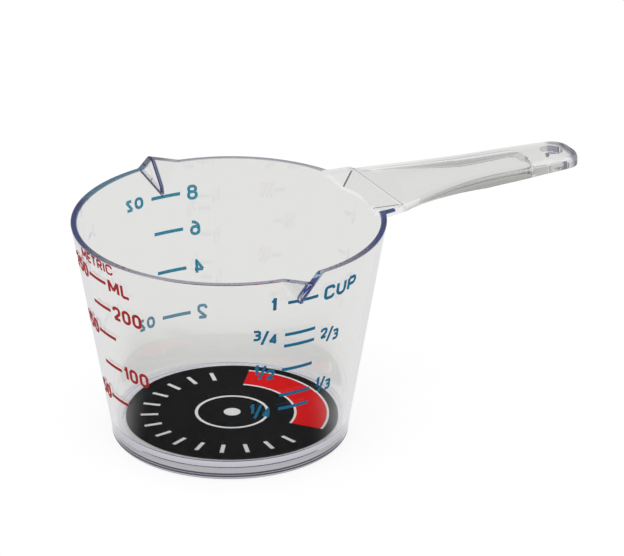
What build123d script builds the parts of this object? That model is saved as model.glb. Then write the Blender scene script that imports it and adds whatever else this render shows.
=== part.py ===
from build123d import *
from math import atan, cos, degrees, pi, radians, sin, sqrt
import os

# A clear moulded one-cup measure with two pouring spouts and a channel handle, used as a mixing cup.
# The base stands on Z = 0, the bowl's axis is Z and the handle points along +X. All lengths are in mm.

# bowl
rim_diameter = 92.0
foot_diameter = 70.0
bowl_height = 67.5
foot_height = 2.5
wall = 1.7
floor_level = 5.8
floor_thickness = 2.0
foot_ring_width = 2.4
foot_edge_radius = 1.2
floor_corner_radius = 1.0

# spouts, one at each side
spout_width = 13.6
spout_reach = 6.3
spout_depth = 9.2
spout_angles = (-90, 90)

# shallow pocket in the rim at the root of the handle: its facets slope down into the bowl
pocket_width = 30.2
pocket_reach = 3.5
pocket_depth = 4.6
pocket_run = 13.0
pocket_draw_in = 12.1
pocket_side_run = 12.0
pocket_side_spread = 2.5
pocket_floor = 2.2

# handle
handle_tip = 115.4
handle_root_width = 33.6
handle_rim_width = 37.6
handle_taper_start = 88.0
handle_taper_width = 17.4
handle_tip_width = 16.0
handle_corner_radius = 4.6
handle_crown = 1.6
handle_crown_place = 46.6
handle_crown_radius = 931.0
handle_arch_radius = 70.0
handle_edge_radius = 1.0
handle_root_depth = 1.8
handle_bend_place = 62.0
handle_bend_depth = 2.2
handle_belly_place = 82.0
handle_belly_depth = 4.2
handle_tip_depth = 4.0
handle_belly_radius = 40.0
handle_skirt = 1.8
handle_plate = 1.7
channel_end = 99.6
channel_end_radius = 2.5
hang_hole_diameter = 7.0
hang_hole_place = 108.9

# printed scales
ink = 0.1
tick_height = 1.0
text_gap = 2.2
letter_gap = 0.7
cup_scale_angle = -89.2
cup_tick_length = 9.8
cup_print_rise = 2.5
cup_letter_height = 4.7
cup_stroke = 1.0
cup_whole_gap = 3.5
fraction_height = 3.6
fraction_step = 1.9
fraction_bar_width = 1.7
fraction_gap = 0.3
fraction_stroke = 0.8
ounce_scale_angle = 88.2
ounce_tick_length = 9.6
ounce_letter_height = 4.6
ounce_unit_height = 3.6
ounce_unit_gap = 3.0
ounce_stroke = 0.9
metric_scale_angle = -175.6
metric_tick_length = 8.9
metric_letter_height = 4.7
metric_stroke = 0.95
metric_text_gap = 1.2
metric_title_height = 3.4
metric_title_stroke = 0.6
metric_title_gap = 0.5
metric_title_drop = 2.3
metric_title_start = 174.5

# round label stuck on the floor by hand, a little off its middle: a film, then the print of a band,
# a ring and ticks
label_gap = 1.3
label_shift = 1.2
label_film = 0.12
label_print = 0.05
label_margin = 0.1
label_band_width = 9.0
label_band_inset = 3.4
label_band_line = 0.7
label_band_start = -52.0
label_band_span = 104.0
label_tick_length = 5.2
label_tick_width = 1.2
label_tick_inset = 4.4
label_tick_start = 76.0
label_tick_step = 16.0
label_ticks = 14
label_ring_diameter = 22.0
label_ring_line = 0.9
label_dot_diameter = 5.0

# volumes: what the bowl holds when full to the brim, and what one cup and one fluid ounce are
brim_millilitres = 297.4
cup_millilitres = 236.588
ounces_per_cup = 8

overrun = 3.0

# worked out
rim_radius = rim_diameter / 2
foot_radius = foot_diameter / 2
wall_rise = bowl_height - foot_height
wall_slope = (rim_radius - foot_radius) / wall_rise
wall_lean = degrees(atan(wall_slope))
wall_across = wall / cos(radians(wall_lean))
floor_radius = foot_radius + wall_slope * (floor_level - foot_height) - wall_across
brim_radius = rim_radius - wall_across
brim_volume = (brim_radius ** 3 - floor_radius ** 3) * pi / 3 / wall_slope
millilitre = brim_volume / brim_millilitres
cup_volume = cup_millilitres * millilitre
recess_radius = foot_radius - foot_ring_width
recess_top = floor_level - floor_thickness
label_radius = floor_radius - floor_corner_radius - label_gap
handle_root = rim_radius + pocket_reach


def wall_radius(height, grow=0):
    """Outer radius of the bowl's wall at a height, or of a skin grown from it."""
    return foot_radius + wall_slope * (height - foot_height) + grow / cos(radians(wall_lean))


def fill_level(volume):
    """Height at which the bowl holds this volume: a slice of a cone above the floor."""
    top_cubed = 3 * wall_slope * volume / pi + floor_radius ** 3
    return floor_level + (top_cubed ** (1 / 3) - floor_radius) / wall_slope


def turned(points):
    """A round solid from its half outline, given as radius and height."""
    outline = Polyline(*[(radius, 0, height) for radius, height in points], close=True)
    return revolve(make_face(outline), Axis.Z)


def flat_face(points):
    return make_face(Polyline(*points, close=True))


# Spouts: each is a slanting four-cornered column whose ridge runs from its tip down to the wall.
spout_tip = rim_radius + spout_reach
spout_root = sqrt(rim_radius ** 2 - (spout_width / 2) ** 2)
spout_foot = wall_radius(bowl_height - spout_depth)
ridge = Vector(spout_foot - spout_tip, 0, -spout_depth)
facet_normal = ridge.cross(Vector(spout_root - spout_tip, spout_width / 2, 0)).normalized()


def spout(angle, move_in=0):
    """The column of one spout. Moved inwards across its facets, it cuts the spout's channel."""
    shift = Vector(-move_in / abs(facet_normal.X), 0, 0)
    above = overrun / spout_depth if move_in > 0 else 0
    corners = [
        Vector(spout_tip, 0, bowl_height),
        Vector(spout_root, spout_width / 2, bowl_height),
        Vector(spout_root - spout_width / 2, 0, bowl_height),
        Vector(spout_root, -spout_width / 2, bowl_height),
    ]
    face = flat_face([corner + shift - ridge * above for corner in corners])
    length = ridge.length * (1 + above + overrun / spout_depth)
    return extrude(face, amount=length, dir=ridge.normalized()).rotate(Axis.Z, angle)


def pocket(drop=0, rise=0):
    """The sloping pocket at the handle's root. Dropped, it is the underside of its own floor."""
    sections = []
    for height in (bowl_height + rise, bowl_height - pocket_depth - drop):
        share = (height + drop - bowl_height) / pocket_depth
        front = rim_radius + pocket_reach + pocket_run * share
        half = pocket_width / 2 + pocket_draw_in * share
        back = front - pocket_side_run
        wide = half + pocket_side_spread
        corners = ((front, half), (back, wide), (back, -wide), (front, -half))
        sections.append(flat_face([(x, y, height) for x, y in corners]))
    return loft(sections, ruled=True)


def handle_plan(inset=0, end=handle_tip):
    """The handle's plan: straight beside the pocket, a flare, then a straight taper to the tip."""
    half_rim = handle_rim_width / 2 - inset
    half_root = handle_root_width / 2 - inset
    half_start = handle_taper_width / 2 - inset
    taper = (handle_taper_width - handle_tip_width) / 2 / (handle_tip - handle_taper_start)
    half_end = half_start - taper * (end - handle_taper_start)
    flare = TangentArc(
        (handle_taper_start, half_start), (handle_root, half_root), tangent=(-1, taper)
    )
    inner = rim_radius - pocket_run
    side = Line((handle_root, half_root), (inner, half_rim))
    tail = Polyline((inner, half_rim), (inner, 0), (end, 0), (end, half_end))
    half = make_face([flare, side, tail, Line((end, half_end), (handle_taper_start, half_start))])
    return half + mirror(half, Plane.XZ)


def between(low, high):
    """A slab across the handle's length from one X to another."""
    return Pos((low + high) / 2, 0, bowl_height) * Box(high - low, handle_rim_width + overrun, bowl_height)


def make_bowl():
    form = outer_form() + (pocket(drop=pocket_floor) & land_column())
    form = fillet(form.edges().group_by(Axis.Z)[0], foot_edge_radius)
    top = bowl_height + overrun
    hollow = turned([
        (0, floor_level),
        (floor_radius, floor_level),
        (wall_radius(top) - wall_across, top),
        (0, top),
    ])
    hollow = fillet(hollow.edges().group_by(Axis.Z)[0], floor_corner_radius)
    for angle in spout_angles:
        hollow += spout(angle, wall)
    hollow += pocket(rise=overrun)
    recess = extrude(Circle(recess_radius), recess_top)
    return form - hollow - recess


def cone_form(grow=0):
    """The bowl's outer cone and foot without spouts, or the same with a skin on its wall."""
    level = foot_radius + grow / cos(radians(wall_lean))
    rim = wall_radius(bowl_height, grow)
    return turned([(0, 0), (level, 0), (level, foot_height), (rim, bowl_height), (0, bowl_height)])


def outer_form():
    form = cone_form()
    for angle in spout_angles:
        form += spout(angle)
    return form


def land_column():
    """The outline that the pocket's floor fills: the handle's plan up to its root, below the rim."""
    return extrude(handle_plan(), bowl_height) & between(0, handle_root)


def handle_log(drop=0):
    """A long log whose top is the handle's crown: arched across, and gently bowed along its length."""
    crown = bowl_height + handle_crown - drop
    centre = crown - handle_crown_radius
    radius = handle_arch_radius - drop
    half = handle_rim_width / 2
    shoulder = crown - radius + sqrt(radius ** 2 - half ** 2)
    floor = bowl_height - handle_belly_depth - overrun
    place = handle_crown_place
    outline = [
        ThreePointArc((place, -half, shoulder), (place, 0, crown), (place, half, shoulder)),
        Polyline((place, half, shoulder), (place, half, floor), (place, -half, floor), (place, -half, shoulder)),
    ]
    sweep_angle = degrees((handle_tip + overrun - place) / handle_crown_radius)
    return revolve(make_face(outline), Axis((place, 0, centre), (0, 1, 0)), sweep_angle)


def handle_side():
    """The side view below the crown: shallow at the root, deepest at the belly."""
    lower = FilletPolyline(
        (handle_root, 0, bowl_height - handle_root_depth),
        (handle_bend_place, 0, bowl_height - handle_bend_depth),
        (handle_belly_place, 0, bowl_height - handle_belly_depth),
        (handle_tip + overrun, 0, bowl_height - handle_tip_depth),
        radius=handle_belly_radius,
    )
    top = bowl_height + handle_crown + overrun
    upper = Polyline(lower @ 1, (handle_tip + overrun, 0, top), (handle_root, 0, top), lower @ 0)
    return extrude(make_face([lower, upper]), handle_rim_width, both=True)


def make_handle():
    column = extrude(handle_plan(), 2 * bowl_height) - between(0, handle_root)
    column = fillet(column.edges().filter_by(Axis.Z).group_by(Axis.X)[-1], handle_corner_radius)
    channel = extrude(handle_plan(handle_skirt, channel_end), 2 * bowl_height)
    channel = fillet(channel.edges().filter_by(Axis.Z).group_by(Axis.X)[-1], channel_end_radius)
    channel -= pocket(drop=pocket_floor, rise=overrun)
    hole = Pos(hang_hole_place, 0, 0) * extrude(Circle(hang_hole_diameter / 2), 2 * bowl_height)
    body = column & handle_side() & handle_log()
    crown_edges = body.faces().sort_by(Axis.Z)[-1].edges().filter_by(lambda edge: edge.center().X > handle_root)
    body = fillet(crown_edges.filter_by(lambda edge: edge.length > handle_corner_radius), handle_edge_radius)
    return body - pocket(rise=overrun) - (channel & handle_log(handle_plate)) - hole


# Letters: each is drawn with straight and rounded strokes in a box of width 1 and height 1.
# A letter is its width as a share of its height, then its strokes as lists of points.
round_share = 0.92
letter_width_shares = {
    "0": 0.7, "1": 0.36, "2": 0.7, "3": 0.7, "4": 0.76, "5": 0.7, "6": 0.7, "8": 0.72,
    "C": 0.84, "U": 0.84, "P": 0.8, "M": 1.0, "L": 0.72, "O": 0.9, "Z": 0.8,
    "E": 0.66, "T": 0.72, "R": 0.76, "I": 0.22,
}
letter_stroke_shares = {
    "0": [[(0.5, 0), (0, 0), (0, 1), (0.5, 1)], [(0.5, 0), (1, 0), (1, 1), (0.5, 1)]],
    "1": [[(1, 0), (1, 1), (0, 0.72)]],
    "2": [[(0, 0.72), (0, 1), (1, 1), (1, 0.56), (0, 0)], [(0, 0), (1, 0)]],
    "3": [[(0, 1), (1, 1), (1, 0.54), (0.3, 0.54)], [(0.3, 0.54), (1, 0.54), (1, 0), (0, 0)]],
    "4": [[(0.74, 0), (0.74, 1), (0, 0.28)], [(0, 0.28), (1, 0.28)]],
    "5": [[(1, 1), (0.1, 1)], [(0.1, 1), (0.1, 0.56)], [(0.1, 0.6), (1, 0.6), (1, 0), (0, 0)]],
    "6": [[(0.9, 1), (0, 1), (0, 0.3)], [(0.5, 0), (0, 0), (0, 0.6), (0.5, 0.6)],
          [(0.5, 0), (1, 0), (1, 0.6), (0.5, 0.6)]],
    "8": [[(0.5, 0), (0, 0), (0, 0.54), (0.5, 0.54)], [(0.5, 0), (1, 0), (1, 0.54), (0.5, 0.54)],
          [(0.5, 0.54), (0.05, 0.54), (0.05, 1), (0.5, 1)], [(0.5, 0.54), (0.95, 0.54), (0.95, 1), (0.5, 1)]],
    "C": [[(1, 0.74), (1, 1), (0, 1), (0, 0), (1, 0), (1, 0.26)]],
    "U": [[(0, 1), (0, 0), (1, 0), (1, 1)]],
    "P": [[(0, 0), (0, 1)], [(0, 1), (1, 1), (1, 0.44), (0, 0.44)]],
    "M": [[(0, 0), (0, 1)], [(0, 1), (0.5, 0.2)], [(0.5, 0.2), (1, 1)], [(1, 1), (1, 0)]],
    "L": [[(0, 1), (0, 0)], [(0, 0), (1, 0)]],
    "O": [[(0.5, 0), (0, 0), (0, 1), (0.5, 1)], [(0.5, 0), (1, 0), (1, 1), (0.5, 1)]],
    "Z": [[(0, 1), (1, 1)], [(1, 1), (0, 0)], [(0, 0), (1, 0)]],
    "E": [[(0, 0), (0, 1)], [(0, 1), (1, 1)], [(0, 0.5), (0.9, 0.5)], [(0, 0), (1, 0)]],
    "T": [[(0, 1), (1, 1)], [(0.5, 1), (0.5, 0)]],
    "R": [[(0, 0), (0, 1)], [(0, 1), (1, 1), (1, 0.48), (0, 0.48)], [(0.45, 0.48), (1, 0)]],
    "I": [[(0.5, 0), (0.5, 1)]],
}
sharp_letters = "14MLZETI"


def roundest(points):
    """The largest rounding that fits every corner: an end takes a whole side, a middle one half."""
    sides = [(end - start).length for start, end in zip(points, points[1:])]
    return min(sides[0], sides[-1], *[side / 2 for side in sides[1:-1]])


def letter(name, height, stroke):
    """One letter as a flat sketch, standing on its lower left corner."""
    width = max(letter_width_shares[name] * height, stroke)
    inset = stroke / 2
    shape = Sketch()
    for path in letter_stroke_shares[name]:
        points = [Vector(inset + u * (width - stroke), inset + v * (height - stroke)) for u, v in path]
        if name in sharp_letters or len(points) == 2:
            line = Polyline(*points)
        else:
            line = FilletPolyline(*points, radius=round_share * roundest(points))
        shape += trace(line, stroke)
    box = Pos(width / 2, height / 2) * Rectangle(width, height)
    return shape & box, width


def fraction(top, bottom, height, stroke):
    """A slanted fraction: the upper number stands higher and the lower one hangs lower."""
    first, first_width = letter(top, fraction_height, stroke)
    second, second_width = letter(bottom, fraction_height, stroke)
    drop = (height - fraction_height) / 2
    bar_start = first_width + fraction_gap
    bar_end = bar_start + fraction_bar_width
    foot = drop - fraction_step / 4
    bar = trace(Line((bar_start, foot), (bar_end, height - foot)), stroke)
    shape = Pos(0, drop + fraction_step / 2) * first + bar
    shape += Pos(bar_end + fraction_gap, drop - fraction_step / 2) * second
    return shape, bar_end + fraction_gap + second_width


def on_wall(shape, angle, height):
    """Lays a flat sketch on the bowl's wall: it is carried inwards through the skin of ink."""
    radius = wall_radius(height)
    place = Plane(
        origin=(radius * cos(radians(angle)), radius * sin(radians(angle)), height),
        x_dir=(-sin(radians(angle)), cos(radians(angle)), 0),
        z_dir=(cos(radians(angle)), sin(radians(angle)), -wall_slope),
    )
    return extrude(place * shape, overrun / 2, both=True) & ink_skin


def write(text, angle, height, letter_height, stroke, gap=letter_gap, right=False):
    """Letters side by side round the wall, from an angle rightwards, or ending there."""
    glyphs = [letter(name, letter_height, stroke) for name in text]
    radius = wall_radius(height)
    span = sum(width for _, width in glyphs) + gap * (len(glyphs) - 1)
    along = -span if right else 0
    solids = []
    for glyph, width in glyphs:
        middle = angle + degrees((along + width / 2) / radius)
        solids += on_wall(Pos(-width / 2, -letter_height / 2) * glyph, middle, height).solids()
        along += width + gap
    return solids


def write_fraction(text, angle, height, right=False):
    """A fraction beside its tick: it starts at the angle, or ends there."""
    shape, width = fraction(text[0], text[1], cup_letter_height, fraction_stroke)
    middle = angle + degrees((-width / 2 if right else width / 2) / wall_radius(height))
    return on_wall(Pos(-width / 2, -cup_letter_height / 2) * shape, middle, height).solids()


def tick(angle, height, length):
    return on_wall(Rectangle(length, tick_height), angle, height).solids()


def beside(angle, height, length, right=False, gap=text_gap):
    """The angle where text starts beside a tick, on its left or its right."""
    step = degrees((length / 2 + gap) / wall_radius(height))
    return angle + step if right else angle - step


def make_cup_scale():
    """Marks for cups: whole, quarters and thirds. Every mark is printed a little above its level."""
    ticks, numbers = [], []
    left, right = ("34", "12", "14"), ("23", "13")
    for text in left + right:
        height = fill_level(cup_volume * int(text[0]) / int(text[1])) + cup_print_rise
        ticks += tick(cup_scale_angle, height, cup_tick_length)
        start = beside(cup_scale_angle, height, cup_tick_length, text in right)
        numbers += write_fraction(text, start, height, right=text in left)
    height = fill_level(cup_volume) + cup_print_rise
    ticks += tick(cup_scale_angle, height, cup_tick_length)
    start = beside(cup_scale_angle, height, cup_tick_length, gap=cup_whole_gap)
    numbers += write("1", start, height, cup_letter_height, cup_stroke, right=True)
    start = beside(cup_scale_angle, height, cup_tick_length, True)
    word = write("CUP", start, height, cup_letter_height, cup_stroke)
    return ticks, numbers, word


def make_metric_scale():
    """Marks every fifty millilitres. The hundreds are numbered on the right, the others on the left."""
    ticks, numbers, words = [], [], []
    for amount in (50, 100, 150, 200, 250):
        height = fill_level(amount * millilitre)
        ticks += tick(metric_scale_angle, height, metric_tick_length)
        on_right = amount % 100 == 0
        start = beside(metric_scale_angle, height, metric_tick_length, on_right, metric_text_gap)
        numbers += write(str(amount), start, height, metric_letter_height, metric_stroke, right=not on_right)
    start = beside(metric_scale_angle, height, metric_tick_length, True, metric_text_gap)
    words += write("ML", start, height, metric_letter_height, metric_stroke)
    height = bowl_height - metric_title_drop
    words += write(
        "METRIC", metric_title_start, height, metric_title_height, metric_title_stroke,
        metric_title_gap,
    )
    return ticks, numbers, words


def make_ounce_scale():
    """Marks every two fluid ounces on the far wall, with the unit at the top and the bottom mark."""
    ticks, numbers, words = [], [], []
    for amount in (2, 4, 6, 8):
        height = fill_level(cup_volume * amount / ounces_per_cup)
        ticks += tick(ounce_scale_angle, height, ounce_tick_length)
        start = beside(ounce_scale_angle, height, ounce_tick_length)
        numbers += write(str(amount), start, height, ounce_letter_height, ounce_stroke, right=True)
        if amount in (2, 8):
            start = beside(ounce_scale_angle, height, ounce_tick_length, True, ounce_unit_gap)
            words += write("OZ", start, height, ounce_unit_height, ounce_stroke)
    return ticks, numbers, words


def make_label():
    """The label's film and its print: a red band, a white ring with ticks, and black all round them."""
    radius = label_radius - label_margin
    film = Pos(0, -label_shift, floor_level) * extrude(Circle(label_radius), label_film)
    outer = radius - label_band_inset
    inner = outer - label_band_width
    sector_reach = 2 * radius
    start, stop = label_band_start, label_band_start + label_band_span
    arc = Line((0, 0), (sector_reach * cos(radians(start)), sector_reach * sin(radians(start))))
    sweep = ThreePointArc(
        arc @ 1,
        (sector_reach * cos(radians((start + stop) / 2)), sector_reach * sin(radians((start + stop) / 2))),
        (sector_reach * cos(radians(stop)), sector_reach * sin(radians(stop))),
    )
    sector = make_face([arc, sweep, Line(sweep @ 1, (0, 0))])
    band = (Circle(outer) - Circle(inner)) & sector
    line = ((Circle(outer + label_band_line) - Circle(inner - label_band_line)) & sector) - band
    ring = Circle(label_ring_diameter / 2) - Circle(label_ring_diameter / 2 - label_ring_line)
    white = line + ring + Circle(label_dot_diameter / 2)
    reach = radius - label_tick_inset - label_tick_length / 2
    for step in range(label_ticks):
        angle = label_tick_start + step * label_tick_step
        white += Rot(0, 0, angle) * Pos(reach, 0) * Rectangle(label_tick_length, label_tick_width)
    black = Circle(radius) - band - white
    face = Pos(0, -label_shift, floor_level + label_film)
    prints = [face * extrude(sketch, label_print) for sketch in (black, band, white)]
    return film, prints


ink_skin = cone_form(ink) - cone_form()
for spout_angle in spout_angles:
    ink_skin -= spout(spout_angle)
cup_ticks, cup_numbers, cup_word = make_cup_scale()
metric_ticks, metric_numbers, metric_words = make_metric_scale()
ounce_ticks, ounce_numbers, ounce_words = make_ounce_scale()
film, (black_print, red_print, white_print) = make_label()

parts = {
    "bowl": make_bowl().solids(),
    "handle": make_handle().solids(),
    "cup_scale_ticks": cup_ticks,
    "cup_scale_numbers": cup_numbers,
    "cup_scale_word": cup_word,
    "metric_scale_ticks": metric_ticks,
    "metric_scale_numbers": metric_numbers,
    "metric_scale_words": metric_words,
    "ounce_scale_ticks": ounce_ticks,
    "ounce_scale_numbers": ounce_numbers,
    "ounce_scale_units": ounce_words,
    "label_film": film.solids(),
    "label_black_print": black_print.solids(),
    "label_red_band": red_print.solids(),
    "label_white_marks": white_print.solids(),
}

os.makedirs("parts", exist_ok=True)
for name, solids in parts.items():
    print(name, len(solids), round(sum(solid.volume for solid in solids), 2))
    export_step(solids[0] if len(solids) == 1 else Compound(children=solids), f"parts/{name}.step")
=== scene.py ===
import math

import bmesh
import bpy
import numpy as np
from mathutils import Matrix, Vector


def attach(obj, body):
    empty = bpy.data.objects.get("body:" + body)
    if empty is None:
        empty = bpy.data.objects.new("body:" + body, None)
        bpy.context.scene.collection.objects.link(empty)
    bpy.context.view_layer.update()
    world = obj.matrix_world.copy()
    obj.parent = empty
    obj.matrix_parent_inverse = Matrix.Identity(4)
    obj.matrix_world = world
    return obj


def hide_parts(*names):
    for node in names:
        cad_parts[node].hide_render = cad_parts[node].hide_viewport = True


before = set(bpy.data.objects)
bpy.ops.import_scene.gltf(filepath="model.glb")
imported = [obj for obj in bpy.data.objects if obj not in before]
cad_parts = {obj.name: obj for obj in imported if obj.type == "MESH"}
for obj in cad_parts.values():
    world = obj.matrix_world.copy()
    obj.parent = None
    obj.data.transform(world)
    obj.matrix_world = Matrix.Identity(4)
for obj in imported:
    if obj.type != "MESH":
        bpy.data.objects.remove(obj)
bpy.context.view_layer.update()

# Bowl
# A tapered bowl of clear hard plastic, moulded in one piece with its spouts, its foot ring and the
# shallow pocket at the handle's root. Lengths are in millimetres, from the middle of its underside.
MM = 0.001
RIM, FOOT, HEIGHT, FOOT_HEIGHT, WALL = 46.0, 35.0, 67.5, 2.5, 1.7
FLOOR, FLOOR_THICKNESS, FOOT_RING = 5.8, 2.0, 2.4
FOOT_EDGE, FLOOR_CORNER, RIM_EDGE, RING_EDGE = 1.2, 1.0, 0.35, 0.25
FOOT_STEP, FOOT_STEP_HEIGHT = 0.02, 0.4
LABEL_SINK = 0.03
SPOUT_HALF, SPOUT_REACH, SPOUT_DEPTH = 6.8, 6.3, 9.2
SPOUT_ANGLES = (-math.pi / 2, math.pi / 2)
SOFT_RIDGE, SOFT_VALLEY = 0.5, 0.5
POCKET_HALF, POCKET_REACH, POCKET_BOTTOM, POCKET_RUN = 15.1, 3.5, 4.6, 12.0
POCKET_SLOPE, POCKET_SIDE, POCKET_SPREAD = 13.0 / POCKET_BOTTOM, 12.1 / POCKET_BOTTOM, 2.5 / POCKET_RUN
POCKET_FLOOR, LAND_END = 2.2, 49.6
LAND_HALF, LAND_SPREAD = 16.8, 2.0 / 16.5

slope = (RIM - FOOT) / (HEIGHT - FOOT_HEIGHT)
wall_across = WALL * math.hypot(1, slope)
spout_tip = RIM + SPOUT_REACH
spout_root = math.sqrt(RIM**2 - SPOUT_HALF**2)
ridge = np.array([FOOT + slope * (HEIGHT - SPOUT_DEPTH - FOOT_HEIGHT) - spout_tip, 0, -SPOUT_DEPTH])
facet = np.cross(ridge, [spout_root - spout_tip, SPOUT_HALF, 0])
facet = facet / np.linalg.norm(facet) * np.sign(facet[0])


def soft_max(a, b, blend):
    """The larger of two values, with the corner between them rounded."""
    share = np.clip(0.5 + 0.5 * (a - b) / blend, 0, 1)
    return b + (a - b) * share + blend * share * (1 - share)


def soft_min(a, b, blend):
    """The smaller of two values, with the corner between them rounded."""
    return -soft_max(-a, -b, blend)


# A plane that a ray doesn't face is met only far away.
LEAST_FACING, FAR_AWAY = 0.02, 500.0


def reach(normal, through, cos_t, sin_t, z):
    """How far a ray from the axis goes at a height before it meets a plane."""
    normal = np.array(normal, dtype=float)
    facing = normal[0] * cos_t + normal[1] * sin_t
    distance = normal @ np.array(through, dtype=float) - normal[2] * z
    return np.where(facing > LEAST_FACING, distance / np.maximum(facing, LEAST_FACING), FAR_AWAY)


# Cosines of how far to each side of their middles the spouts and the pocket may reach.
SPOUT_COS, POCKET_COS = 0.5, 0.7


def spout_radius(theta, z, middle, inset):
    """The reach of a spout's two facets, which meet in its ridge."""
    cos_t, sin_t = np.cos(theta - middle), np.sin(theta - middle)
    tip = np.array([spout_tip, 0, HEIGHT]) - np.array([inset / facet[0], 0, 0])
    one = reach(facet, tip, cos_t, sin_t, z)
    other = reach(facet * [1, -1, 1], tip, cos_t, sin_t, z)
    return np.where(cos_t > SPOUT_COS, soft_min(one, other, SOFT_RIDGE), 0)


def pocket_radius(theta, z, drop):
    """The reach of the pocket's front slope and two side slopes, lowered by a drop."""
    cos_t, sin_t = np.cos(theta), np.sin(theta)
    z = z + drop
    corner = np.array([RIM + POCKET_REACH, POCKET_HALF, HEIGHT])
    front = reach([1, 0, -POCKET_SLOPE], corner, cos_t, sin_t, z)
    side_normal = np.cross([POCKET_SLOPE, POCKET_SIDE, 1], [-1, POCKET_SPREAD, 0])
    side_normal = side_normal * np.sign(side_normal[1])
    left = reach(side_normal, corner, cos_t, sin_t, z)
    right = reach(side_normal * [1, -1, 1], corner * [1, -1, 1], cos_t, sin_t, z)
    near = soft_min(front, soft_min(left, right, SOFT_RIDGE), SOFT_RIDGE)
    return np.where(cos_t > POCKET_COS, near, 0)


def land_radius(theta, z):
    """The pocket's floor from outside, held in by the handle's sides and by its front face."""
    cos_t, sin_t = np.cos(theta), np.sin(theta)
    corner = np.array([LAND_END, LAND_HALF, HEIGHT])
    sides = soft_min(
        reach([LAND_SPREAD, 1, 0], corner, cos_t, sin_t, z),
        reach([LAND_SPREAD, -1, 0], corner * [1, -1, 1], cos_t, sin_t, z),
        SOFT_RIDGE,
    )
    front = reach([1, 0, 0], corner, cos_t, sin_t, z)
    return np.minimum(pocket_radius(theta, z, POCKET_FLOOR), np.minimum(sides, front))


def bowl_radius(theta, z, inner):
    """The bowl's outer or inner radius at an angle and height, with its spouts and pocket."""
    radius = FOOT + slope * (z - FOOT_HEIGHT) - (wall_across if inner else 0)
    for middle in SPOUT_ANGLES:
        radius = soft_max(radius, spout_radius(theta, z, middle, WALL if inner else 0), SOFT_VALLEY)
    grown = pocket_radius(theta, z, 0) if inner else land_radius(theta, z)
    return soft_max(radius, grown, SOFT_VALLEY)


FINE_STEP, COARSE_STEP = math.radians(0.3), math.radians(1.5)
SPOUT_SPAN, ROOT_SPAN = math.radians(12), math.radians(24)


def spaced_angles():
    """Angles round the bowl, closer together at the spouts and at the handle's root."""
    angles, angle = [], -math.pi
    while angle < math.pi - COARSE_STEP / 4:
        angles.append(angle)
        near_spout = abs(abs(angle) - math.pi / 2) < SPOUT_SPAN
        near_root = abs(angle) < ROOT_SPAN
        angle += FINE_STEP if near_spout or near_root else COARSE_STEP
    return np.array(angles)


theta = spaced_angles()


def bowl_ring(radius, z):
    """Points round the bowl at one height, at one radius or at a radius for each angle."""
    return np.stack([radius * np.cos(theta), radius * np.sin(theta), np.full_like(theta, z)], axis=1)


def arc_steps(start, stop, count=9):
    """Even steps along an arc that is given in degrees, as angles in radians."""
    return [math.radians(start + (stop - start) * i / (count - 1)) for i in range(count)]


def new_mesh(name, vertices, faces):
    """A mesh from points in millimetres, with its faces turned outwards."""
    mesh = bpy.data.meshes.new(name)
    mesh.from_pydata([tuple(v) for v in np.asarray(vertices) * MM], [], faces)
    mesh.validate()
    work = bmesh.new()
    work.from_mesh(mesh)
    bmesh.ops.recalc_face_normals(work, faces=work.faces)
    if work.calc_volume(signed=True) < 0:
        bmesh.ops.reverse_faces(work, faces=work.faces)
    work.to_mesh(mesh)
    work.free()
    return mesh


def add_object(name, data):
    obj = bpy.data.objects.new(name, data)
    bpy.context.collection.objects.link(obj)
    return obj


def ringed_form(name, rings):
    """A closed form from rings of points, each joined to the next, with flat ends."""
    count = len(rings[0])
    faces = [list(range(count))]
    for row in range(len(rings) - 1):
        a, b = row * count, (row + 1) * count
        for i in range(count):
            j = (i + 1) % count
            faces.append((a + i, a + j, b + j, b + i))
    faces.append([(len(rings) - 1) * count + i for i in reversed(range(count))])
    return add_object(name, new_mesh(name, np.concatenate(rings), faces))


# Arcs are in degrees, and each band of the wall has its lowest and highest ring and their number.
QUARTER, RIM_FIRST = 90, 10
WALL_BANDS = (
    (FOOT_HEIGHT + FOOT_STEP_HEIGHT, 54, 44),
    (54.3, 64.4, 36),
    (64.5, HEIGHT - RIM_EDGE, 32),
)

recess = FOOT - FOOT_RING
ceiling = FLOOR - FLOOR_THICKNESS
rings = [bowl_ring(recess - RING_EDGE, ceiling)]
rings += [bowl_ring(recess, z) for z in (ceiling - RING_EDGE, RING_EDGE)]
rings += [bowl_ring(recess + RING_EDGE, 0)]
for a in arc_steps(0, QUARTER):
    foot_radius = FOOT - FOOT_EDGE + FOOT_EDGE * math.sin(a)
    rings.append(bowl_ring(foot_radius, FOOT_EDGE - FOOT_EDGE * math.cos(a)))
rings += [bowl_ring(FOOT, FOOT_HEIGHT - FOOT_STEP_HEIGHT), bowl_ring(FOOT + FOOT_STEP, FOOT_HEIGHT)]
wall_rows = [z for low, high, rows in WALL_BANDS for z in np.linspace(low, high, rows)]
rings += [bowl_ring(bowl_radius(theta, z, False), z) for z in wall_rows]
outer_rim, inner_rim = bowl_radius(theta, HEIGHT, False), bowl_radius(theta, HEIGHT, True)
outer_arc, inner_arc = arc_steps(RIM_FIRST, QUARTER), arc_steps(QUARTER, RIM_FIRST)
for edge, towards_wall, arc in ((outer_rim, -1, outer_arc), (inner_rim, 1, inner_arc)):
    for a in arc:
        inwards = RIM_EDGE * (1 - math.cos(a))
        rings.append(bowl_ring(edge + towards_wall * inwards, HEIGHT - RIM_EDGE * (1 - math.sin(a))))
inner_rows = [z for z in reversed(wall_rows) if z > FLOOR + FLOOR_CORNER]
rings += [bowl_ring(bowl_radius(theta, z, True), z) for z in inner_rows]
floor_edge = FOOT + slope * (FLOOR + FLOOR_CORNER - FOOT_HEIGHT) - wall_across - FLOOR_CORNER
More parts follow.
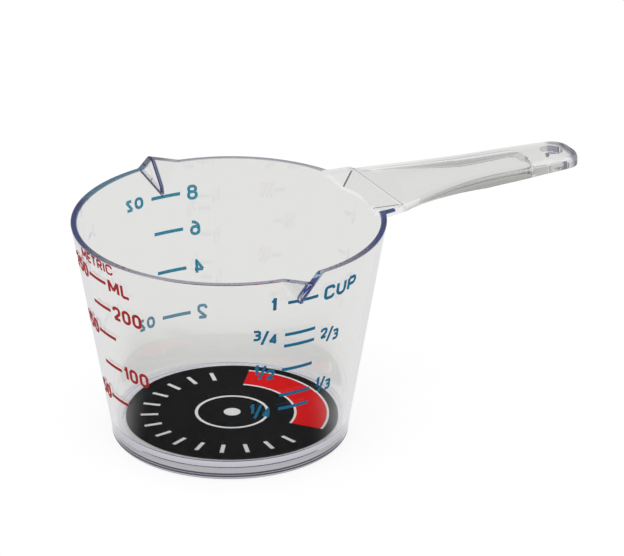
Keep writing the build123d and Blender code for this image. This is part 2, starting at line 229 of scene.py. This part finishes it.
for a in arc_steps(QUARTER, 0):
    z = FLOOR - LABEL_SINK + (FLOOR_CORNER + LABEL_SINK) * (1 - math.cos(a))
    rings.append(bowl_ring(floor_edge + FLOOR_CORNER * math.sin(a), z))
bowl_form = ringed_form("bowl_form", rings)

# Handle
# The same moulding runs on into a long handle: a channel that is open below, with a gently arched
# top and two side skirts. A solid block closes its end, with a round hole to hang it by.
HANDLE_START, HANDLE_TIP, TIP_CORNER = 49.0, 115.4, 4.6
ROOT_X, ROOT_HALF, TAPER_X, TAPER_HALF, TIP_HALF = 49.5, 16.8, 88.0, 8.7, 8.0
CROWN, CROWN_X, CROWN_RADIUS, ARCH_RADIUS = 69.1, 46.6, 931.0, 70.0
LOWER_X, LOWER_Z = (49.0, 56.0, 62.0, 72.0, 82.0, 92.0, 116.0), (65.7, 65.6, 65.2, 64.4, 63.4, 63.3, 63.5)
TOP_EDGE, LOWER_EDGE, END_EDGE, END_BULGE, END_CUT = 1.1, 0.35, 0.7, 0.42, 0.1
SKIRT, PLATE, CHANNEL_START, CHANNEL_END = 1.8, 1.7, 48.0, 99.6
CHANNEL_CORNER, CHANNEL_EDGE, CHANNEL_LOWER_EDGE = 2.5, 2.2, 0.3
HOLE_X, HOLE_RADIUS, HOLE_SIDES = 108.9, 3.5, 96
CUT_BOTTOM, CUT_TOP, ABOVE_RIM = 58, 74, 3
LOWER_ARC, TOP_ARC, TIP_ARC, CHANNEL_ARC = (12, 90, 7), (0, 84, 9), (6, 84, 14), (8, 86, 10)
TOP_STEPS, HANDLE_STEPS, CHANNEL_STEPS = 10, 60, 48


def handle_half(x):
    """Half the handle's width: it flares to the root and tapers a little to the tip."""
    taper = (TAPER_HALF - TIP_HALF) / (HANDLE_TIP - TAPER_X)
    run, whole = TAPER_X - x, TAPER_X - ROOT_X
    if run < 0:
        return TAPER_HALF + taper * run
    return TAPER_HALF + taper * run + (ROOT_HALF - TAPER_HALF - taper * whole) * (run / whole) ** 2


def crown_height(x):
    """The top of the handle along its middle, on one long arc."""
    return CROWN - (x - CROWN_X) ** 2 / (2 * CROWN_RADIUS)


def lower_height(x):
    """The lower edge of the skirts, which rises towards the root."""
    return float(np.interp(x, LOWER_X, LOWER_Z))


def handle_section(x, half, low, high, arch, top_edge, low_edge):
    """A ring across the handle: flat below, straight sides, rounded edges and an arched top."""
    points = [(0, low), (half - low_edge, low)]
    for a in arc_steps(*LOWER_ARC):
        points.append((half - low_edge + low_edge * math.sin(a), low + low_edge * (1 - math.cos(a))))
    edge_z = high - half**2 / (2 * arch)
    for a in arc_steps(*TOP_ARC):
        points.append((half - top_edge + top_edge * math.cos(a), edge_z - top_edge + top_edge * math.sin(a)))
    for i in range(1, TOP_STEPS + 1):
        y = (half - top_edge) * (1 - i / TOP_STEPS)
        points.append((y, high - y**2 / (2 * arch)))
    points += [(-y, z) for y, z in reversed(points[1:-1])]
    return np.array([(x, y, z) for y, z in points])


def corner_half(x, half, end, corner):
    """The half width where a rounded corner brings it in towards an end."""
    into = x - (end - corner)
    return half if into <= 0 else half - corner + math.sqrt(max(corner**2 - into**2, 0))


def run_to_corner(start, end, corner, steps, arc):
    """Places along a run with a rounded end: even steps, then closer ones round the corner."""
    rounded = [end - corner + corner * math.sin(a) for a in arc_steps(*arc)]
    return list(np.linspace(start, end - corner, steps)) + rounded


handle_rings = []
for x in run_to_corner(HANDLE_START, HANDLE_TIP, TIP_CORNER, HANDLE_STEPS, TIP_ARC):
    half = corner_half(x, handle_half(x), HANDLE_TIP, TIP_CORNER)
    section = (lower_height(x), crown_height(x), ARCH_RADIUS, TOP_EDGE, LOWER_EDGE)
    handle_rings.append(handle_section(x, half, *section))
for a in arc_steps(0, QUARTER):
    x = HANDLE_TIP - END_BULGE * (1 - math.sin(a))
    inset = END_EDGE * (1 - math.cos(a))
    half = corner_half(HANDLE_TIP - END_CUT, handle_half(x), HANDLE_TIP, TIP_CORNER) - inset
    section = (lower_height(x) + inset, crown_height(x) - inset, ARCH_RADIUS, TOP_EDGE, LOWER_EDGE)
    handle_rings.append(handle_section(x, half, *section))
handle_form = ringed_form("handle_form", handle_rings)

channel_rings = []
for x in run_to_corner(CHANNEL_START, CHANNEL_END, CHANNEL_CORNER, CHANNEL_STEPS, CHANNEL_ARC):
    half = corner_half(x, handle_half(x) - SKIRT, CHANNEL_END, CHANNEL_CORNER)
    section = (CUT_BOTTOM, crown_height(x) - PLATE, ARCH_RADIUS - PLATE, CHANNEL_EDGE, CHANNEL_LOWER_EDGE)
    channel_rings.append(handle_section(x, half, *section))
channel_form = ringed_form("channel_form", channel_rings)

turn = np.linspace(0, 2 * math.pi, HOLE_SIDES + 1)[:-1]
hole_x, hole_y = HOLE_X + HOLE_RADIUS * np.cos(turn), HOLE_RADIUS * np.sin(turn)
hole_rings = [np.stack([hole_x, hole_y, np.full_like(turn, z)], axis=1) for z in (CUT_BOTTOM, CUT_TOP)]
hole_form = ringed_form("hole_form", hole_rings)


def pocket_form(name, drop):
    """The space above the pocket's slopes, up past the crown."""
    vertices = []
    for z in (HEIGHT - POCKET_BOTTOM - drop, HEIGHT + ABOVE_RIM):
        rise = z + drop - HEIGHT
        front, half = RIM + POCKET_REACH + POCKET_SLOPE * rise, POCKET_HALF + POCKET_SIDE * rise
        behind, wide = front - POCKET_RUN, half + POCKET_RUN * POCKET_SPREAD
        vertices += [(front, half, z), (behind, wide, z), (behind, -wide, z), (front, -half, z)]
    sides = [(i, (i + 1) % 4, 4 + (i + 1) % 4, 4 + i) for i in range(4)]
    return add_object(name, new_mesh(name, vertices, [(3, 2, 1, 0), (4, 5, 6, 7)] + sides))


def combined(base, others, operation):
    """Joins other forms to a form, or cuts them out of it, exactly."""
    for other in others:
        modifier = base.modifiers.new(other.name, "BOOLEAN")
        modifier.object = other
        modifier.operation = operation
        modifier.solver = "MANIFOLD"
    depsgraph = bpy.context.evaluated_depsgraph_get()
    mesh = bpy.data.meshes.new_from_object(base.evaluated_get(depsgraph))
    base.modifiers.clear()
    base.data = mesh
    for other in others:
        bpy.data.objects.remove(other)
    return base


channel_form = combined(channel_form, [pocket_form("pocket_floor_form", POCKET_FLOOR)], "DIFFERENCE")
handle_form = combined(handle_form, [channel_form, hole_form, pocket_form("pocket_form", 0)], "DIFFERENCE")

# Moulding
# Bowl and handle are one shot of clear plastic. Its walls are almost colourless. Its edges are painted
# with shade for the dark edges that refraction gives: navy and teal along the rim and the spouts, and violet
# grey round the tip.
SHARP_ANGLE = math.radians(15)
PLASTIC_IOR, CLEAR_TINT = 1.52, (0.98, 0.98, 0.98, 1)

moulding = combined(bowl_form, [handle_form], "UNION")
moulding.name = "clear_moulding"
moulding.data.name = "clear_moulding"
moulding.data.shade_smooth()
moulding.data.set_sharp_from_angle(angle=SHARP_ANGLE)


class Shade:
    """A socket of a finish, on which Python's own operators add Math nodes."""

    def __init__(self, finish, socket):
        self.finish, self.socket = finish, socket

    def maths(self, operation, *values):
        return self.finish.node("ShaderNodeMath", {"operation": operation}, dict(enumerate(values)))

    def __add__(self, other):
        return self.maths("ADD", self, other)

    def __radd__(self, other):
        return self.maths("ADD", other, self)

    def __sub__(self, other):
        return self.maths("SUBTRACT", self, other)

    def __rsub__(self, other):
        return self.maths("SUBTRACT", other, self)

    def __mul__(self, other):
        return self.maths("MULTIPLY", self, other)

    def __rmul__(self, other):
        return self.maths("MULTIPLY", other, self)

    def __gt__(self, other):
        return self.maths("GREATER_THAN", self, other)

    def __lt__(self, other):
        return self.maths("LESS_THAN", self, other)

    def __abs__(self):
        return self.maths("ABSOLUTE", self)

    def at_least(self, other):
        """The larger of two values, which for two masks is where either holds."""
        return self.maths("MAXIMUM", self, other)

    def root(self):
        return self.maths("SQRT", self)


# Places of the colour sockets among a Mix node's inputs and outputs.
MIX_FIRST, MIX_SECOND, MIX_RESULT = 6, 7, 2


class Finish:
    """The nodes of a material or of the room, which all come from one method."""

    def __init__(self, owner):
        owner.use_nodes = True
        self.tree = owner.node_tree
        self.tree.nodes.clear()

    def node(self, kind, settings, sockets, output=0):
        """Adds one node: its settings first, then the values or links of its sockets."""
        made = self.tree.nodes.new(kind)
        for name, value in settings.items():
            if name == "stops":
                for position, _ in value[1:-1]:
                    made.color_ramp.elements.new(position)
                for element, (position, colour) in zip(made.color_ramp.elements, value):
                    element.position, element.color = position, colour
            else:
                setattr(made, name, value)
        for name, value in sockets.items():
            if isinstance(value, Shade):
                self.tree.links.new(value.socket, made.inputs[name])
            else:
                made.inputs[name].default_value = value
        return Shade(self, made.outputs[output]) if len(made.outputs) else None

    def place(self):
        return self.node("ShaderNodeTexCoord", {}, {}, "Object")

    def normal(self):
        return self.node("ShaderNodeNewGeometry", {}, {}, "Normal")

    def along(self, vector, direction):
        """How far a vector goes in a direction."""
        settings = {"operation": "DOT_PRODUCT"}
        return self.node("ShaderNodeVectorMath", settings, {0: vector, 1: direction}, "Value")

    def part(self, vector, axis):
        return self.node("ShaderNodeSeparateXYZ", {}, {"Vector": vector}, axis)

    def fade(self, value, start, full):
        """Goes softly from 0 where a value is at the start to 1 where it is full."""
        settings = {"interpolation_type": "SMOOTHSTEP"}
        sockets = {"Value": value, "From Min": start, "From Max": full}
        return self.node("ShaderNodeMapRange", settings, sockets)

    def blend(self, factor, colour, other):
        """A colour between two others."""
        sockets = {0: factor, MIX_FIRST: colour, MIX_SECOND: other}
        return self.node("ShaderNodeMix", {"data_type": "RGBA"}, sockets, MIX_RESULT)

    def glow(self, colour):
        """A surface that only shines, in a colour that may vary."""
        return self.node("ShaderNodeBsdfPrincipled", {}, {
            "Base Color": (0, 0, 0, 1), "Roughness": 1.0, "Specular IOR Level": 0.0,
            "Emission Color": colour, "Emission Strength": 1.0,
        })

    def end(self, shader):
        self.node("ShaderNodeOutputMaterial", {}, {"Surface": shader})


clear_plastic = bpy.data.materials.new("clear_plastic")
plastic = Finish(clear_plastic)
place = plastic.place()
x, y, z = [plastic.part(place, axis) * (1 / MM) for axis in "XYZ"]
upright = 1 - abs(plastic.part(plastic.normal(), "Z"))

# The handle's upright skirts are painted grey as far as the end block, as painted shade on its sides, and
# its rounded tip is painted violet grey, as painted shade.
SKIRT_SHADE, TIP_SHADE = (0.45, 0.45, 0.44, 1), (0.13, 0.125, 0.18, 1)
HANDLE_FROM, HANDLE_FULL = 48.0, 50.0
BLOCK_FROM, BLOCK_FULL, BLOCK_MIDDLE = 103.5, 101.5, 5.0
TIP_FROM, TIP_FULL, TIP_EDGE_FROM, TIP_EDGE_FULL = HANDLE_TIP - 4.9, HANDLE_TIP - 2.9, 2.2, 3.4
on_handle = plastic.fade(x, HANDLE_FROM, HANDLE_FULL)
off_handle = 1 - on_handle
on_shaded_skirt = on_handle * plastic.fade(x, BLOCK_FROM, BLOCK_FULL).at_least(abs(y) > BLOCK_MIDDLE) * upright
past_corner = (x - (HANDLE_TIP - TIP_CORNER)).at_least(0)
beside_corner = (abs(y) - (TIP_HALF - TIP_CORNER)).at_least(0)
from_corner = (past_corner * past_corner + beside_corner * beside_corner).root()
at_shaded_tip = plastic.fade(from_corner, TIP_EDGE_FROM, TIP_EDGE_FULL) * plastic.fade(x, TIP_FROM, TIP_FULL)

# The foot is painted faintly violet, as painted shadow of the floor under the cup seen through it, with a
# painted dark line of shade where its ring turns under.
FOOT_SHADE, FOOT_LINE_SHADE = (0.78, 0.77, 0.83, 1), (0.03, 0.03, 0.05, 1)
FOOT_FROM, FOOT_FULL, FOOT_LINE, FOOT_LINE_HALF = 6.5, 4.0, 1.3, 0.3
in_shaded_foot = plastic.fade(z, FOOT_FROM, FOOT_FULL)
on_foot_shade_line = abs(z - FOOT_LINE) < FOOT_LINE_HALF

# Painted shade darkens the creases where the pocket's front and side slopes meet.
CREASE_SHADE, CREASE_HALF = (0.05, 0.05, 0.06, 1), 0.4
below_rim = HEIGHT - z
from_front = x - (RIM + POCKET_REACH) + below_rim * POCKET_SLOPE
from_side = abs(y) - POCKET_HALF + below_rim * POCKET_SIDE
in_shaded_crease = (abs(from_front) + abs(from_side) < CREASE_HALF) * off_handle

# The rim is painted with shade for the dark edge that refraction gives: a fine grey line in front and
# behind, navy at its two sides, teal at the back left and darker at the back spout's tip. The line has a
# gap where the handle's root joins the rim.
RIM_SHADE, RIM_NAVY_SHADE, RIM_TEAL_SHADE = (0.3, 0.3, 0.34, 1), (0.002, 0.005, 0.05, 1), (0.02, 0.08, 0.13, 1)
RIM_TIP_SHADE = (0.06, 0.06, 0.09, 1)
SIDE_WAY, BACK_WAY = (0.88, -0.476, 0), (0.476, 0.88, 0)
SIDE_FROM, SIDE_FULL, TEAL_FROM, TEAL_FULL, BACK_FROM, BACK_FULL = 20.0, 44.0, -12.0, -28.0, 10.0, 22.0
RIM_FROM, RIM_FULL, RIM_SIDE_GROWTH = HEIGHT - 0.3, HEIGHT - 0.1, 0.5
RIM_TIP_FROM, RIM_TIP_FULL = RIM, RIM + 2.5
GAP_X, GAP_RIGHT, GAP_LEFT, GAP_END_X = 40.0, -15.5, 18.0, 45.8
across = plastic.along(place, SIDE_WAY) * (1 / MM)
backwards = plastic.along(place, BACK_WAY) * (1 / MM)
sideways = plastic.fade(abs(across), SIDE_FROM, SIDE_FULL)
back_left = plastic.fade(across, TEAL_FROM, TEAL_FULL) * plastic.fade(backwards, BACK_FROM, BACK_FULL)
at_root = ((x > GAP_X) * (y > GAP_RIGHT) * (y < GAP_LEFT)).at_least(x > GAP_END_X)
on_shaded_rim = plastic.fade(z + sideways * RIM_SIDE_GROWTH, RIM_FROM, RIM_FULL) * (1 - at_root) * off_handle
rim_shade = plastic.blend(back_left, plastic.blend(sideways, RIM_SHADE, RIM_NAVY_SHADE), RIM_TEAL_SHADE)
rim_shade = plastic.blend(plastic.fade(y, RIM_TIP_FROM, RIM_TIP_FULL), rim_shade, RIM_TIP_SHADE)

# Each spout's ridge is painted dark, and so is the back one's valley, as painted shade. The front one's far
# facet is painted blue, as painted reflection.
RIDGE_SHADE, VALLEY_SHADE = (0.02, 0.03, 0.09, 1), (0.08, 0.08, 0.11, 1)
FACET_LOW_SHADE, FACET_TOP_SHADE = (0.2, 0.24, 0.47, 1), (0.3, 0.44, 0.57, 1)
RIDGE_HALF, VALLEY_HALF, FACET_START, FACET_FROM, FACET_FULL = 0.6, 0.4, 0.3, HEIGHT - 4.0, HEIGHT - 1.5
SPOUT_FROM_Y, SPOUT_FROM_Z, VALLEY_TOP = 40.5, HEIGHT - SPOUT_DEPTH + 0.2, HEIGHT - 0.3
facet_reach = (z - (HEIGHT - SPOUT_DEPTH)) * (SPOUT_HALF / SPOUT_DEPTH)
on_ridge = (abs(x) < RIDGE_HALF) * (abs(y) > SPOUT_FROM_Y) * (z > SPOUT_FROM_Z)
far_facet = (x > FACET_START) * (x < facet_reach) * (y < -SPOUT_FROM_Y)
in_valley = (abs(x + facet_reach) < VALLEY_HALF) * (x < 0) * (y > SPOUT_FROM_Y) * (z < VALLEY_TOP)
facet_shade = plastic.blend(plastic.fade(z, FACET_FROM, FACET_FULL), FACET_LOW_SHADE, FACET_TOP_SHADE)

# The plastic's own faint tint, with the painted shade of the marks above laid over it.
tint_and_shade = CLEAR_TINT
for mask, colour in (
    (on_shaded_skirt, SKIRT_SHADE), (in_shaded_foot, FOOT_SHADE), (on_foot_shade_line, FOOT_LINE_SHADE), (in_shaded_crease, CREASE_SHADE),
    (on_shaded_rim, rim_shade), (on_ridge, RIDGE_SHADE), (in_valley, VALLEY_SHADE), (far_facet, facet_shade),
    (at_shaded_tip, TIP_SHADE),
):
    tint_and_shade = plastic.blend(mask, tint_and_shade, colour)

# Light that is caught between the walls is replaced by a painted glow, pale at an edge, or deep blue beside
# the rim.
EDGE_PALE, EDGE_NAVY, EDGE_HANDLE = (0.6, 0.58, 0.64, 1), (0.012, 0.018, 0.1, 1), (0.85, 0.85, 0.85, 1)
EDGE_FACET = (0.05, 0.08, 0.3, 1)
EDGE_FROM, EDGE_FULL, ROOT_FROM, ROOT_FULL = HEIGHT - 4.5, HEIGHT - 1.5, 34.0, 40.0
FIRST_BOUNCE, CAUGHT_BOUNCE = 0.5, 2.5
painted_edge_glow = plastic.blend(sideways * plastic.fade(z, EDGE_FROM, EDGE_FULL), EDGE_PALE, EDGE_NAVY)
painted_edge_glow = plastic.blend(plastic.fade(x, ROOT_FROM, ROOT_FULL), painted_edge_glow, EDGE_HANDLE)
painted_edge_glow = plastic.blend(far_facet, painted_edge_glow, EDGE_FACET)
bounces = plastic.node("ShaderNodeLightPath", {}, {}, "Glossy Depth")
caught = (bounces > CAUGHT_BOUNCE).at_least(far_facet * (bounces > FIRST_BOUNCE))

# The polished surface has the faint waves of moulded plastic.
WAVE_SCALE, WAVE_DETAIL, WAVE_ROUGHNESS, WAVE_STRENGTH, WAVE_HEIGHT = 55.0, 2.0, 0.4, 0.05, 0.4
waves = plastic.node("ShaderNodeTexNoise", {}, {
    "Vector": place, "Scale": WAVE_SCALE, "Detail": WAVE_DETAIL, "Roughness": WAVE_ROUGHNESS,
})
ripple = plastic.node("ShaderNodeBump", {}, {
    "Height": waves, "Strength": WAVE_STRENGTH, "Distance": WAVE_HEIGHT * MM,
})
clear = plastic.node("ShaderNodeBsdfPrincipled", {}, {
    "Base Color": tint_and_shade, "Roughness": 0.0, "IOR": PLASTIC_IOR, "Transmission Weight": 1.0, "Normal": ripple,
})
plastic.end(plastic.node("ShaderNodeMixShader", {}, {"Fac": caught, 1: clear, 2: plastic.glow(painted_edge_glow)}))
moulding.data.materials.clear()
moulding.data.materials.append(clear_plastic)
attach(moulding, "root")
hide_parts("bowl", "handle")

# Printed scales
# Three scales are screen printed on the outside of the wall: cups and ounces in teal-blue ink, and
# millilitres in red ink. Where the ink is seen from inside, through the wall, it is painted lighter, as
# painted light for the light that shines through it from behind.
TEAL_INK, TEAL_LIT_INSIDE = (0.0, 0.155, 0.3, 1), (0.0, 0.53, 0.8, 1)
RED_INK, RED_LIT_INSIDE = (0.42, 0.01, 0.012, 1), (0.85, 0.04, 0.045, 1)
INK_PALE, INK_GRAIN_SCALE, INK_GRAIN_DETAIL, INK_GRAIN = (1, 1, 1, 1), 900.0, 3.0, 0.02
INK_ROUGHNESS, INK_GLOSS = 0.6, 0.15


def ink_material(name, outside, lit_inside):
    """A matt ink with a fine grain, in one colour outwards and another, painted lighter as painted light,
    towards the wall.
    """
    material = bpy.data.materials.new(name)
    ink = Finish(material)
    place = ink.place()
    grain = ink.node("ShaderNodeTexNoise", {}, {
        "Vector": place, "Scale": INK_GRAIN_SCALE, "Detail": INK_GRAIN_DETAIL,
    })
    tone = ink.blend(ink.along(ink.normal(), place) > 0, lit_inside, outside)
    ink.end(ink.node("ShaderNodeBsdfPrincipled", {}, {
        "Base Color": ink.blend(grain * INK_GRAIN, tone, INK_PALE), "Roughness": INK_ROUGHNESS,
        "Specular IOR Level": INK_GLOSS,
    }))
    return material


def dress(node_name, material):
    """Gives a node of the frame a finish of its own."""
    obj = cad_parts[node_name]
    obj.data.materials.clear()
    obj.data.materials.append(material)


SCALE_INKS = {
    "cup": (TEAL_INK, TEAL_LIT_INSIDE),
    "metric": (RED_INK, RED_LIT_INSIDE),
    "ounce": (TEAL_INK, TEAL_LIT_INSIDE),
}
for scale, colours in SCALE_INKS.items():
    ink = ink_material(scale + "_ink", *colours)
    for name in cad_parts:
        if name.startswith(scale + "_scale"):
            dress(name, ink)

# Label
# A round label lies on the bowl's floor: a thin film printed black, with a red band and white marks.
# The print has little gloss and a fine grain.
LABEL_COLOURS = {
    "label_film": (0.75, 0.75, 0.76, 1),
    "label_black_print": (0.005, 0.005, 0.006, 1),
    "label_red_band": (0.9, 0.01, 0.012, 1),
    "label_white_marks": (0.98, 0.98, 0.98, 1),
}
LABEL_GRAIN_SCALE, LABEL_GRAIN_DETAIL, LABEL_GRAIN = 700.0, 2.0, 0.15
LABEL_ROUGHNESS, LABEL_GLOSS = 0.4, 0.03

for name, colour in LABEL_COLOURS.items():
    material = bpy.data.materials.new(name)
    label = Finish(material)
    grain = label.node("ShaderNodeTexNoise", {}, {
        "Vector": label.place(), "Scale": LABEL_GRAIN_SCALE, "Detail": LABEL_GRAIN_DETAIL,
    })
    label.end(label.node("ShaderNodeBsdfPrincipled", {}, {
        "Base Color": colour, "Roughness": grain * LABEL_GRAIN + LABEL_ROUGHNESS,
        "Specular IOR Level": LABEL_GLOSS,
    }))
    dress(name, material)

# Floor
# A white floor carries the cup and keeps its shadow. It is greyer where the clear plastic shows it,
# and dark where the plastic mirrors the floor just in front of the cup.
FLOOR_HALF, FLOOR_DROP = 4000, 0.1
FLOOR_PAINT, FLOOR_SEEN, FLOOR_THROUGH = (0.85, 0.85, 0.85, 1), (1.12, 1.12, 1.12, 1), (0.79, 0.79, 0.77, 1)
FLOOR_AHEAD, FLOOR_BEHIND = (0.02, 0.02, 0.02, 1), (0.8, 0.8, 0.8, 1)
AHEAD_WAY, AHEAD_FROM, AHEAD_FULL, FAR_FROM, NEAR_FULL = (-0.476, -0.88, 0), 0.0, 0.6, 105.0, 82.0
FLOOR_GLOW = 0.75

floor_corners = [(x * FLOOR_HALF, y * FLOOR_HALF, 0) for x, y in ((-1, -1), (1, -1), (1, 1), (-1, 1))]
floor = add_object("floor", new_mesh("floor", floor_corners, [(0, 1, 2, 3)]))
floor.location.z = -FLOOR_DROP * MM
floor_material = bpy.data.materials.new("floor")
paint = Finish(floor_material)
lights_matt = paint.node("ShaderNodeLightPath", {}, {}, "Diffuse Depth") > FIRST_BOUNCE
through = paint.node("ShaderNodeLightPath", {}, {}, "Is Transmission Ray")
mirrored = paint.node("ShaderNodeLightPath", {}, {}, "Glossy Depth") > FIRST_BOUNCE
place = paint.place()
bearing = paint.node("ShaderNodeVectorMath", {"operation": "NORMALIZE"}, {0: place})
distance = paint.node("ShaderNodeVectorMath", {"operation": "LENGTH"}, {0: place}, "Value") * (1 / MM)
in_front = paint.fade(paint.along(bearing, AHEAD_WAY), AHEAD_FROM, AHEAD_FULL)
in_front = in_front * paint.fade(distance, FAR_FROM, NEAR_FULL)
direct = paint.blend(through, FLOOR_SEEN, FLOOR_THROUGH)
shown = paint.blend(mirrored, direct, paint.blend(in_front, FLOOR_BEHIND, FLOOR_AHEAD))
matt = paint.node("ShaderNodeBsdfDiffuse", {}, {"Color": FLOOR_PAINT})
glowing = (1 - lights_matt) * (FLOOR_GLOW + mirrored * (1 - FLOOR_GLOW))
paint.end(paint.node("ShaderNodeMixShader", {}, {"Fac": glowing, 1: matt, 2: paint.glow(shown)}))
floor.data.materials.append(floor_material)

# Room
# The room is white for the camera and pale all round, and darker high up, so that the clear edges
# show. One wide lamp hangs overhead, and its size and place are in metres.
WHITE, PALE, SHADED = (1, 1, 1, 1), (0.9, 0.9, 0.9, 1), (0.35, 0.35, 0.36, 1)
ROOM_HEIGHTS = [(0.0, WHITE), (0.12, WHITE), (0.3, SHADED), (0.7, SHADED), (0.85, PALE), (1.0, PALE)]
ROOM_THROUGH, ROOM_LIGHT = (0.8, 0.8, 0.8, 1), (0.65, 0.65, 0.65, 1)
LAMP_POWER, LAMP_SIZE, LAMP_PLACE = 6.0, 1.2, (-0.3, -0.3, 1.4)

world = bpy.data.worlds.new("room")
bpy.context.scene.world = world
room = Finish(world)
height = room.part(room.node("ShaderNodeTexCoord", {}, {}, "Generated"), "Z")
walls = room.node("ShaderNodeValToRGB", {"stops": ROOM_HEIGHTS}, {"Fac": height})
to_camera = room.node("ShaderNodeLightPath", {}, {}, "Is Camera Ray")
lights_matt = room.node("ShaderNodeLightPath", {}, {}, "Diffuse Depth") > FIRST_BOUNCE
through = room.node("ShaderNodeLightPath", {}, {}, "Is Transmission Ray")
around = room.blend(lights_matt, room.blend(through, walls, ROOM_THROUGH), ROOM_LIGHT)
shown = room.blend(to_camera, around, WHITE)
background = room.node("ShaderNodeBackground", {}, {"Color": shown, "Strength": 1.0})
room.node("ShaderNodeOutputWorld", {}, {"Surface": background})

lamp = add_object("overhead", bpy.data.lights.new("overhead", "AREA"))
lamp.data.energy, lamp.data.size = LAMP_POWER, LAMP_SIZE
lamp.location = LAMP_PLACE
lamp.rotation_euler = (-Vector(LAMP_PLACE)).to_track_quat("-Z", "Y").to_euler()

# Camera
# A long lens, a metre and a half away, looks down over the cup from the front spout's left. It aims
# a little to the right of the bowl's axis, because of the handle. Its places are in metres.
CAMERA_AZIMUTH, CAMERA_ELEVATION = math.radians(-28.4), math.radians(24.76)
CAMERA_DISTANCE, CAMERA_REACH = 1.5333, 20
CAMERA_LENS_MM, CAMERA_FILM_MM = 301.63, 36
AIM_RIGHT, AIM_UP, AIM_HEIGHT = 0.02417, 0.01341, 0.03374

back = np.array([
    math.sin(CAMERA_AZIMUTH) * math.cos(CAMERA_ELEVATION),
    -math.cos(CAMERA_AZIMUTH) * math.cos(CAMERA_ELEVATION),
    math.sin(CAMERA_ELEVATION),
])
right = np.array([math.cos(CAMERA_AZIMUTH), math.sin(CAMERA_AZIMUTH), 0])
up = np.cross(back, right)
aim = np.array([0, 0, AIM_HEIGHT]) + right * AIM_RIGHT + up * AIM_UP
camera = add_object("camera", bpy.data.cameras.new("camera"))
camera.data.lens = CAMERA_LENS_MM
camera.data.sensor_width = CAMERA_FILM_MM
camera.data.clip_end = CAMERA_REACH
camera.location = aim + back * CAMERA_DISTANCE
camera.rotation_mode = "QUATERNION"
camera.rotation_quaternion = Vector(-back).to_track_quat("-Z", "Y")
bpy.context.scene.camera = camera
bpy.context.scene.view_settings.view_transform = "Standard"
